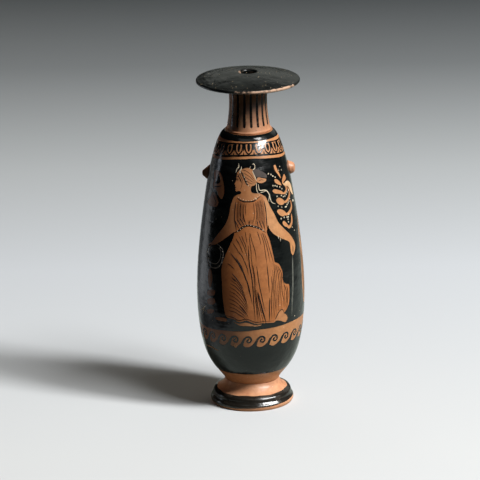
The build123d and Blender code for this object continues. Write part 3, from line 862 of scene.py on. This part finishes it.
thinned = black_gloss(
    "black_gloss_thinned", tone=("#2c190d", "#55311b"), roughness=(0.6, 0.75), shine=0.08)
knee_sweep = [(-22.6, 80.6), (-16.9, 79.2), (-12.2, 76.8), (-8.3, 73.8), (-5.0, 70.0), (-2.9, 66.1)]
hem_sweep = [(-24.4, 64.1), (-17.9, 63.6), (-12.4, 62.0), (-7.9, 60.4), (-5.0, 58.9)]
flutter = [
    [(22.9, 84.5), (23.6, 78.0), (22.1, 71.7), (22.1, 63.9), (21.8, 58.6)],
    [(26.6, 91.8), (26.9, 85.9), (27.1, 79.9), (26.3, 73.1), (26.4, 65.7), (25.1, 59.3)],
    [(29.1, 90.8), (31.5, 83.8), (31.8, 76.9), (30.9, 71.0), (30.7, 63.1)],
    [(31.8, 89.7), (35.4, 85.1), (35.3, 80.0), (35.3, 74.8), (36.9, 70.3), (37.6, 64.6)],
    [(39.0, 77.9), (41.0, 73.3), (41.2, 69.0), (39.6, 64.8)],
    [(42.0, 77.1), (43.2, 72.0), (42.2, 66.3), (40.5, 63.6)]]
fine = [(line, 0.46) for line in flutter + [knee_sweep, hem_sweep]]
fine += [(line, 0.34) for pair in zip(flutter[:-2], flutter[1:-1]) for line in between(*pair, 1)]
fine += [(line, 0.4) for line in between(low_fold, knee_sweep, 2) + between(knee_sweep, hem_sweep, 6)]
thigh_folds = between(middle_fold[4:], front_fold, 3) + between(middle_fold[2:5], leg_back[:4], 1)
fine += [(line, 0.36) for line in thigh_folds]
fine += [(line, 0.42) for line in (
    # folds at the belt and over the thighs
    [(0.3, 110.5), (1.5, 107.2), (3.4, 103.8), (5.2, 100.5), (6.2, 97.1), (6.2, 93.8)],
    [(-0.6, 110.8), (-0.4, 106.0), (0.8, 100.4), (1.4, 94.6)],
    [(-16.4, 96.1), (-12.2, 93.3), (-8.6, 89.6), (-6.3, 86.2), (-4.4, 82.9)],
    [(-9.9, 109.2), (-7.8, 106.4), (-5.3, 103.5), (-4.2, 100.5)],
    [(-20.6, 104.8), (-17.4, 102.8), (-14.8, 100.8), (-11.4, 98.0)],
    [(-5.4, 111.4), (-4.6, 108.0), (-3.4, 104.6)],
    [(-16.6, 107.4), (-13.2, 104.6), (-10.4, 101.8), (-8.2, 99.0)],
    [(-12.3, 67.7), (-8.6, 65.2), (-4.8, 62.6), (-3.0, 60.5)],
    [(12.9, 110.2), (15.8, 104.7), (17.3, 97.5), (18.4, 91.6)],
    [(17.2, 109.7), (20.2, 105.3), (22.3, 100.6), (24.8, 95.4), (26.1, 91.9)],
    [(8.6, 111.4), (11.0, 107.6), (12.6, 103.4)],
    [(14.8, 110.6), (18.0, 105.0), (20.4, 99.0), (22.0, 93.0)],
    [(0.6, 100.0), (1.8, 92.0), (3.4, 86.0), (4.6, 79.0), (5.6, 72.0), (6.8, 65.0), (8.4, 58.4)],
    [(-26.0, 92.4), (-21.4, 91.0), (-17.6, 89.0)],
    # bodice
    [(-14.6, 128.7), (-15.2, 124.0), (-14.8, 119.2), (-11.7, 115.5)],
    [(-11.1, 128.0), (-12.2, 123.3), (-10.8, 118.6)],
    [(-7.5, 127.8), (-8.6, 123.4), (-7.3, 119.3), (-5.0, 115.7)],
    [(-4.4, 127.8), (-5.3, 124.8), (-4.8, 120.7)],
    [(7.8, 127.9), (8.9, 123.3), (8.8, 118.5)], [(10.9, 128.7), (12.3, 123.9), (12.4, 119.1)],
    [(14.1, 129.4), (15.7, 124.4), (15.7, 119.0)],
    [(5.0, 128.0), (5.7, 124.0), (5.5, 120.0), (3.5, 115.9)], [(-0.5, 118.0), (-1.1, 115.7)])]
# gathers of the bodice, closest together at its two sides
bodice_left = [(-16.8, 129.6), (-17.6, 124.0), (-17.2, 119.0), (-14.8, 115.0)]
bodice_middle = [(-4.6, 128.2), (-6.2, 124.0), (-5.6, 119.5), (-3.2, 115.9)]
bodice_turn = [(6.4, 128.4), (7.4, 124.0), (7.0, 119.5), (4.8, 115.5)]
bodice_right = [(17.6, 130.2), (19.4, 124.5), (19.6, 119.0), (19.2, 112.8)]
gathers = between(bodice_left, bodice_middle, 8) + between(bodice_turn, bodice_right, 9)
fine += [(line, 0.28) for line in gathers]
fine += [
    (line, 0.24) for line in between([(-3.4, 118.4), (-2.6, 115.9)], [(4.6, 118.4), (4.0, 115.6)], 4)]
# hair strands and hands
strand_top = [(-10.5, 146.9), (-5.0, 146.4), (1.5, 144.6), (6.5, 141.6), (8.6, 139.8)]
strand_low = [(-6.8, 141.6), (-3.0, 140.4), (2.0, 139.2), (6.6, 138.9)]
fine += [(line, 0.32) for line in between(strand_top, strand_low, 2) + [strand_top, strand_low]]
fine += [
    (line, 0.42) for line in (
        [(-17.4, 144.8), (-15.4, 143.4), (-12.6, 141.6), (-10.6, 139.4)],
        [(-15.4, 145.8), (-13.0, 143.8), (-10.6, 141.8), (-8.6, 139.6)],
        [(-16.6, 143.6), (-14.0, 142.0), (-12.0, 140.0)])]
fine += [
    (line, 0.34) for line in (
        [(56.4, 95.4), (58.6, 98.6)], [(54.6, 96.0), (56.4, 99.4)], [(-54.0, 100.4), (-50.4, 101.6)],
        [(13.0, 140.4), (17.0, 141.0), (22.0, 140.6)])]
# the second figure's hair, and the small folds of the mantle
fine += [
    (line, 0.42) for line in between(
        [(112.0, 143.9), (116.0, 141.6), (118.6, 138.4), (120.4, 136.6)],
        [(116.5, 144.6), (120.0, 142.6), (121.6, 140.4), (122.0, 138.2)], 3)]
fine += [
    (line, 0.34) for line in between(
        [(76.6, 95.0), (76.4, 86.0), (75.4, 76.0), (77.6, 66.0)],
        [(81.0, 93.0), (81.4, 82.0), (81.6, 72.0), (82.6, 62.4)], 2)]
fine += [
    (line, 0.34) for line in between(
        [(101.5, 82.6), (102.6, 72.0), (102.6, 60.0)], [(118.0, 80.0), (119.2, 72.0), (118.0, 62.2)], 3)]
mantle_folds = [line for line, _ in relief if line[0][0] > 78 and line[-1][0] > 120]
fine += [(line, 0.34) for pair in zip(mantle_folds[:-1], mantle_folds[1:]) for line in between(*pair, 1)]
brush_lines("thinned_gloss_lines", fine, thinned, lift=0.025)


# Chips and a scratch
# Small losses where a knock took the gloss off, at the wave band and below it.
# The pale clay shows there again, a little rough.

chips = [
    drawn([(-20.2, 42.2), (-19.2, 43.5), (-17.4, 43.3), (-16.4, 42.2), (-17.6, 41.2), (-19.4, 41.3)]),
    drawn([(-36.2, 44.6), (-35.2, 45.2), (-34.2, 44.4), (-35.2, 43.8)]),
    brush(
        flat([(-67, 37.6), (-60, 37.9), (-52, 37.9), (-46, 37.4), (-42, 37.0)]),
        [0.3, 0.6, 0.5, 0.6, 0.2])]
worn = fired_clay("fired_clay_chipped", "#d9ab7c", "#c98f68", "#9a5a3e")
chip_coat = 0.1
chip_parts = [cut([(chip, True)], chip_coat) for chip in chips]
coat_piece("bare_clay_chips", body_wall, body_spread, chip_parts, worn)


# Added white
# Thick cream-white clay paint laid over the finished gloss: rays and ribbons of the head-dress, a worn
# wreath, a long thin fillet from the lowered hand, and rows of raised dots.
# The scarf has a brown wash and one leaf a pale one.

def chalky(name, full, thin):
    """Added white: unpolished pale clay paint, matt and chalky, and greyed where it is worn thin."""
    material, tree, shader, place = surface(name)
    # worn patches about 3 mm across, grain about 0.3 mm
    patches = add(tree, "ShaderNodeTexNoise", {"Vector": place, "Scale": 1 / (3 * mm), "Detail": 3.0})
    grain = add(tree, "ShaderNodeTexNoise", {"Vector": place, "Scale": 1 / (0.3 * mm), "Detail": 2.0})
    share = add(tree, "ShaderNodeMapRange", {"Value": patches, 1: 0.38, 2: 0.66})
    colour = add(
        tree, "ShaderNodeMix", {"Factor": share, 6: linear(full), 7: linear(thin)}, data_type="RGBA")
    rough = add(tree, "ShaderNodeMapRange", {"Value": grain, 3: 0.7, 4: 0.95})
    bump = add(tree, "ShaderNodeBump", {"Height": grain, "Distance": 0.04 * mm, "Strength": 0.5})
    finish_surface(tree, shader, colour, rough, bump)
    return material


cream = chalky("added_white_paint", "#e9dabb", "#b39f83")
wash = chalky("added_white_thin_wash", "#5c4e42", "#382e26")
scarf_brown = chalky("slip_brown_scarf", "#41332a", "#271e18")
pale_wash = chalky("added_white_over_clay", "#dcb88c", "#c2915f")
white_lines = [
    # rays and ribbons of the head-dress
    ([(-19.9, 145.2), (-18.6, 147.4), (-16.0, 148.4), (-16.4, 150.4)], 0.6),
    ([(-13.6, 144.9), (-13.6, 146.6), (-11.9, 147.4), (-11.6, 148.8)], 0.55),
    ([(0.2, 147.4), (1.4, 148.2), (2.6, 149.0)], 0.5),
    ([(4.8, 146.9), (8.4, 147.6), (8.9, 149.0), (7.0, 150.3), (5.0, 150.0)], 0.55),
    ([(5.0, 146.2), (8.0, 143.0), (10.8, 140.3)], 0.55),
    ([(10.0, 139.4), (9.8, 136.0), (11.2, 133.9), (13.5, 133.3)], 0.5),
    ([(12.6, 138.6), (13.4, 135.6), (15.5, 134.9), (19.6, 135.0), (24.0, 134.4), (27.2, 132.0),
      (28.2, 129.4), (30.2, 127.3), (35.0, 126.2)], 0.6),
    ([(22.7, 134.5), (17.9, 133.9), (14.7, 133.8)], 0.5),
    ([(28.0, 132.3), (26.2, 129.8), (25.4, 127.9)], 0.5),
]
# ticks along the hair band, two bracelets, and a small star low on the left
for a, z in ((-9.7, 144.3), (-7.2, 142.9), (-4.8, 141.2), (-3.6, 139.6), (-1.3, 138.1)):
    white_lines.append(([(a - 1.0, z + 0.3), (a + 1.0, z - 0.3)], 0.5))
for a, z in ((34.5, 107.0), (37.2, 105.3)):
    white_lines.append(([(a, z + 0.6), (a + 0.6, z - 1.4)], 0.5))
star = (-61.4, 61.2)
star_tips = ((-67.9, 62.2), (-56.7, 63.9), (-70.2, 58.9), (-64.6, 57.2), (-56.0, 60.1))
white_lines += [([star, tip], 0.45) for tip in star_tips]
brush_lines("added_white_lines", white_lines, cream, lift=coat_thickness)
fillet = [
    ([(54.8, 93.3), (53.2, 85.1), (51.9, 76.2), (50.4, 67.3), (49.7, 57.6)], 0.5),
    ([(53.7, 93.0), (52.0, 85.0), (50.7, 76.0), (49.2, 67.2), (48.5, 58.4)], 0.45),
]
wreath = [
    ([(-49.0, 101.4), (-54.6, 99.6), (-57.0, 96.2), (-56.0, 92.6), (-52.4, 89.4), (-46.0, 88.0),
      (-39.0, 88.8), (-34.4, 91.6), (-32.0, 95.8), (-32.6, 99.6), (-36.4, 101.8), (-42.0, 102.3)], 0.6),
    ([(-46.0, 100.4), (-51.0, 99.0), (-53.2, 96.0), (-51.8, 92.8), (-46.6, 90.6), (-40.6, 91.0),
      (-36.4, 93.4), (-34.8, 96.8), (-36.0, 99.8), (-40.6, 100.9)], 0.4),
]
fillet_white = chalky("added_white_worn_grey", "#74766a", "#464940")
brush_lines("added_white_fillet", fillet, fillet_white, lift=coat_thickness)
brush_lines("added_white_thin_lines", wreath, wash, lift=coat_thickness)

scarf = drawn([
    (5.5, 146.4), (7.7, 147.3), (12.5, 147.0), (17.8, 146.1), (22.5, 144.8), (25.8, 143.6), (26.3, 142.6),
    (25.4, 141.8), (18.4, 142.4), (11.9, 142.6), (9.3, 143.2)])
scarf_coat, leaf_coat = 0.11, 0.06
coat_piece(
    "head_scarf_wash", body_wall, body_spread, [cut([(scarf, True)], scarf_coat)], scarf_brown)
coat_piece(
    "pale_leaf_wash", body_wall, body_spread, [cut([(pale_leaf, True)], leaf_coat)], pale_wash)

dotting, given = coat_tree("raised_dots", "Spots", Fullness="Float")
ball = add(dotting, "GeometryNodeMeshUVSphere", {"Segments": 8, "Rings": 5, "Radius": 0.5})
squeeze = add(dotting, "ShaderNodeCombineXYZ", {"X": 1.0, "Y": 1.0, "Z": given["Fullness"]})
blob = add(dotting, "GeometryNodeTransform", {"Geometry": ball, "Scale": squeeze})
size = add(dotting, "GeometryNodeInputNamedAttribute", {"Name": "breadth"}, data_type="FLOAT")
placed = add(
    dotting, "GeometryNodeInstanceOnPoints", {"Points": given["Spots"], "Instance": blob, "Scale": size})
paint_tree(dotting, placed, given["Paint"])

spots = [(a, z, 1.0) for a, z in (
    (28.8, 143.8), (33.0, 143.2), (36.0, 142.1), (39.9, 141.2), (34.3, 136.7), (37.6, 136.4),
    (40.8, 135.8), (45.8, 135.0), (49.2, 133.7), (38.9, 130.1), (46.4, 130.0), (50.0, 129.0),
    (63.6, 131.4), (59.6, 130.7), (56.5, 129.7), (53.4, 129.0), (63.6, 126.3), (60.8, 125.1),
    (55.6, 123.8), (53.4, 122.8), (38.8, 124.4), (44.6, 123.3), (51.3, 122.8), (56.2, 117.9),
    (54.4, 116.6), (53.4, 115.3), (53.8, 113.7), (41.6, 116.9), (46.8, 117.1), (52.0, 116.7),
    (58.4, 124.4))]
spots += [
    (a, z, 0.8) for a, z in (
        (53.1, 146.3), (55.4, 144.1), (49.1, 144.4), (64.7, 107.4), (60.3, 109.8), (7.4, 130.8),
        (8.8, 130.3), (54.4, 56.9))]
spots += [(73.1, 124.1, 1.7)]
spots += [
    (a, z, 0.5) for a, z in (
        (-14.4, 131.3), (-11.6, 130.6), (-8.2, 130.0), (-4.6, 129.6), (-1.2, 129.5), (2.4, 129.6),
        (5.6, 130.0), (11.0, 131.6), (13.2, 132.4))]
spots += [
    (a, z, 0.68) for a, z in (
        (-8.5, 114.0), (-5.5, 115.0), (-2.3, 115.3), (0.9, 115.2), (4.5, 114.5), (8.0, 113.8),
        (11.6, 113.0), (15.4, 112.0), (-11.4, 112.9), (-14.6, 111.7))]
spots += [
    (a, z, 0.55) for a, z in (
        (-33.2, 92.2), (-32.2, 95.4), (-32.8, 98.8), (-36.0, 101.2), (-36.4, 90.2), (-53.6, 99.8),
        (-55.4, 96.4), (-54.0, 92.8))]
marks = bpy.data.meshes.new("dot_places")
marks.from_pydata([(a * mm_round, z, coat_thickness) for a, z, _ in spots], [], [])
breadths = marks.attributes.new("breadth", "FLOAT", "POINT")
breadths.data.foreach_set("value", [breadth for _, _, breadth in spots])
dots = grown("added_white_dots", marks, dotting, fullness=0.5, paint=cream)
lay_on(body_wall, body_spread, dots, "added_white_dots", even=False)


# Floor, lights and camera
# A plain pale paper floor, painted darker grey towards the back as a painted fall-off of the light and
# painted again for mirrored rays, lit by a high and a low key lamp from the right and weaker ones above and
# behind.
# A glint lamp and two cards are there for the gloss to mirror.
# The camera looks down a little from the front.

floor_size = 8.0
bpy.ops.mesh.primitive_grid_add(x_subdivisions=40, y_subdivisions=40, size=floor_size, location=(0, 0, 0))
floor = bpy.context.object
floor.name = "studio_floor"
paper, tree, shader, place = surface("studio_paper")
part = add(tree, "ShaderNodeSeparateXYZ", {"Vector": place}).outputs
# the camera sees the paper painted from pale at the front to dark grey at the back, a painted fall-off of
# the light
far = add(tree, "ShaderNodeMapRange", {"Value": part["Y"], 1: -0.1, 2: 1.1})
painted_falloff = add(tree, "ShaderNodeValToRGB", {"Fac": far})
stops = painted_falloff.color_ramp.elements
for at, code in (
        (0.0, "#d2d4d4"), (0.3, "#c8ccd0"), (0.5, "#b0b4b6"), (0.75, "#767a7c"), (1.0, "#3a3e40")):
    stop = stops.new(at) if 0.0 < at < 1.0 else stops[-1 if at else 0]
    stop.color = linear(code)
shader.inputs["Roughness"].default_value = 0.9
shader.inputs["Specular IOR Level"].default_value = 0.1
seen = add(tree, "ShaderNodeLightPath").outputs
direct = add(
    tree, "ShaderNodeMath", {0: seen["Is Camera Ray"], 1: seen["Is Glossy Ray"]}, operation="MAXIMUM")
shown = add(tree, "ShaderNodeMath", {0: direct, 1: seen["Is Transmission Ray"]}, operation="MAXIMUM")
# to mirrored rays only, the paper is painted dark past its right and front edges, so the gloss shows painted
# reflections of an unlit studio there, while the camera sees the whole floor
right_end = add(tree, "ShaderNodeMapRange", {"Value": part["X"], 1: 0.20, 2: 0.42, 3: 1.0, 4: 0.25})
front_end = add(tree, "ShaderNodeMapRange", {"Value": part["Y"], 1: -0.40, 2: -0.16, 3: 0.03, 4: 1.0})
ends = add(tree, "ShaderNodeMath", {0: right_end, 1: front_end}, operation="MULTIPLY")
# on the left, mirrored rays see only a painted bright strip, skewed and a hand's breadth off, and painted
# dimmer within 0.28 m of the foot as a painted reflected shadow; the gloss shows it as a painted reflection
# down the flask's left side
left_side = add(tree, "ShaderNodeMapRange", {"Value": part["X"], 1: -0.14, 2: -0.07, 3: 1.0, 4: 0.0})
near_line = add(tree, "ShaderNodeVectorMath", {0: place, 1: (0.47, 0.883, 0.0)}, operation="DOT_PRODUCT")
near_edge = add(tree, "ShaderNodeMapRange", {"Value": near_line, 1: -0.135, 2: -0.115})
far_line = add(tree, "ShaderNodeVectorMath", {0: place, 1: (0.64, 0.77, 0.0)}, operation="DOT_PRODUCT")
far_edge = add(tree, "ShaderNodeMapRange", {"Value": far_line, 1: -0.05, 2: 0.06, 3: 1.0, 4: 0.15})
reach = add(tree, "ShaderNodeVectorMath", {0: place}, operation="LENGTH")
painted_shadow_near_foot = add(tree, "ShaderNodeMapRange", {"Value": reach, 1: 0.16, 2: 0.28, 3: 0.15, 4: 1.0})
edges = add(tree, "ShaderNodeMath", {0: near_edge, 1: far_edge}, operation="MULTIPLY")
painted_reflection_strip = add(tree, "ShaderNodeMath", {0: edges, 1: painted_shadow_near_foot}, operation="MULTIPLY")
mirror_bright_share = add(tree, "ShaderNodeMix", {"Factor": left_side, 2: ends, 3: painted_reflection_strip})
lit = add(tree, "ShaderNodeMath", {0: mirror_bright_share, 1: seen["Is Camera Ray"]}, operation="MAXIMUM")
# painted tones of the reflection: bluish white on the left strip, grey elsewhere
mirrored = add(
    tree, "ShaderNodeMix", {"Factor": left_side, 6: linear("#adb6ae"), 7: linear("#f2f8ff")},
    data_type="RGBA")
seen_tone = add(
    tree, "ShaderNodeMix", {"Factor": seen["Is Camera Ray"], 6: mirrored, 7: painted_falloff}, data_type="RGBA")
# outside these painted masks, mirrored rays see painted near-black
sheet = add(tree, "ShaderNodeMix", {"Factor": lit, 6: linear("#0c0c0c"), 7: seen_tone}, data_type="RGBA")
# the paper throws little light back on the flask, except close round its foot
near_foot = add(tree, "ShaderNodeMapRange", {"Value": reach, 1: 0.04, 2: 0.12, 3: 1.0, 4: 0.0})
bounce = add(
    tree, "ShaderNodeMix", {"Factor": near_foot, 6: linear("#161615"), 7: linear("#a0a09c")},
    data_type="RGBA")
paper_tone = add(tree, "ShaderNodeMix", {"Factor": shown, 6: bounce, 7: sheet}, data_type="RGBA")
tree.links.new(result(paper_tone), shader.inputs["Base Color"])
floor.data.materials.append(paper)

world = bpy.data.worlds.new("studio")
world.use_nodes = True
world.node_tree.nodes["Background"].inputs["Color"].default_value = linear("#dfe3e6")
world.node_tree.nodes["Background"].inputs["Strength"].default_value = 0.006
bpy.context.scene.world = world
flask_middle = Vector((0, 0, 0.1))


def softbox(name, azimuth, elevation, distance, width, height, watts, colour, lights=True, shines=True):
    """A soft lamp at an angle round the flask from the camera's side, aimed at its middle. One that doesn't
    light is only mirrored, and one that doesn't shine isn't mirrored at all."""
    lamp = bpy.data.lights.new(name, "AREA")
    lamp.shape = "RECTANGLE"
    lamp.size = width
    lamp.size_y = height
    lamp.energy = watts
    lamp.color = linear(colour)[:3]
    stand = bpy.data.objects.new(name, lamp)
    a, e = math.radians(azimuth), math.radians(elevation)
    way = Vector((math.sin(a) * math.cos(e), -math.cos(a) * math.cos(e), math.sin(e)))
    stand.location = flask_middle + distance * way
    stand.rotation_euler = (-way).to_track_quat("-Z", "Y").to_euler()
    stand.visible_camera = False
    stand.visible_diffuse = lights
    stand.visible_glossy = shines
    bpy.context.scene.collection.objects.link(stand)
    return stand


# degrees round and up, metres away, metres wide and high, watts and colour of each lamp
softbox("key_softbox", 56, 57, 3.0, 1.0, 1.0, 66, "#ffffff")
softbox("low_key_softbox", 65, 40, 3.0, 0.45, 0.8, 84, "#ffffff", shines=False)
glint = softbox("key_glint", 55, 32, 3.0, 2.1, 0.65, 260, "#ffffff", lights=False)
# black flags keep the glint off the mouth disc and the floor, which would glare from behind
flagged = bpy.data.collections.new("flagged_from_glint")
for shaded in (nodes["mouth_disc"], floor):
    flagged.objects.link(shaded)
for shaded in flagged.collection_objects:
    shaded.light_linking.link_state = "EXCLUDE"
glint.light_linking.receiver_collection = flagged
softbox("overhead_softbox", 178, 72, 2.6, 2.0, 2.0, 4.4, "#fff3e0")
softbox("back_card", 160, 24, 1.8, 1.8, 0.9, 2.2, "#f0f4ea")
softbox("rear_left_card", -148, 0.5, 1.6, 0.9, 0.2, 7, "#fff2e4", shines=False)
softbox("left_card", -104, 3, 1.2, 0.16, 0.22, 0.28, "#e6effc", lights=False)
softbox("front_card", -12, 54, 2.0, 1.5, 0.5, 1.6, "#f2f6f2", lights=False)

eye_distance, tilt, roll = 2.3, math.radians(16.8), math.radians(-0.8)
eye_way = Vector((0, -math.cos(tilt), math.sin(tilt)))
camera = bpy.data.objects.new("camera", bpy.data.cameras.new("camera"))
bpy.context.scene.collection.objects.link(camera)
camera.location = flask_middle + eye_distance * eye_way
level_view = (-eye_way).to_track_quat("-Z", "Y").to_matrix()
camera.rotation_euler = (level_view @ Matrix.Rotation(roll, 3, "Z")).to_euler()
camera.data.lens = 294.6
camera.data.sensor_width = 36.0
camera.data.shift_x = -0.0209
camera.data.shift_y = -0.0066
camera.data.clip_end = 50.0
bpy.context.scene.camera = camera
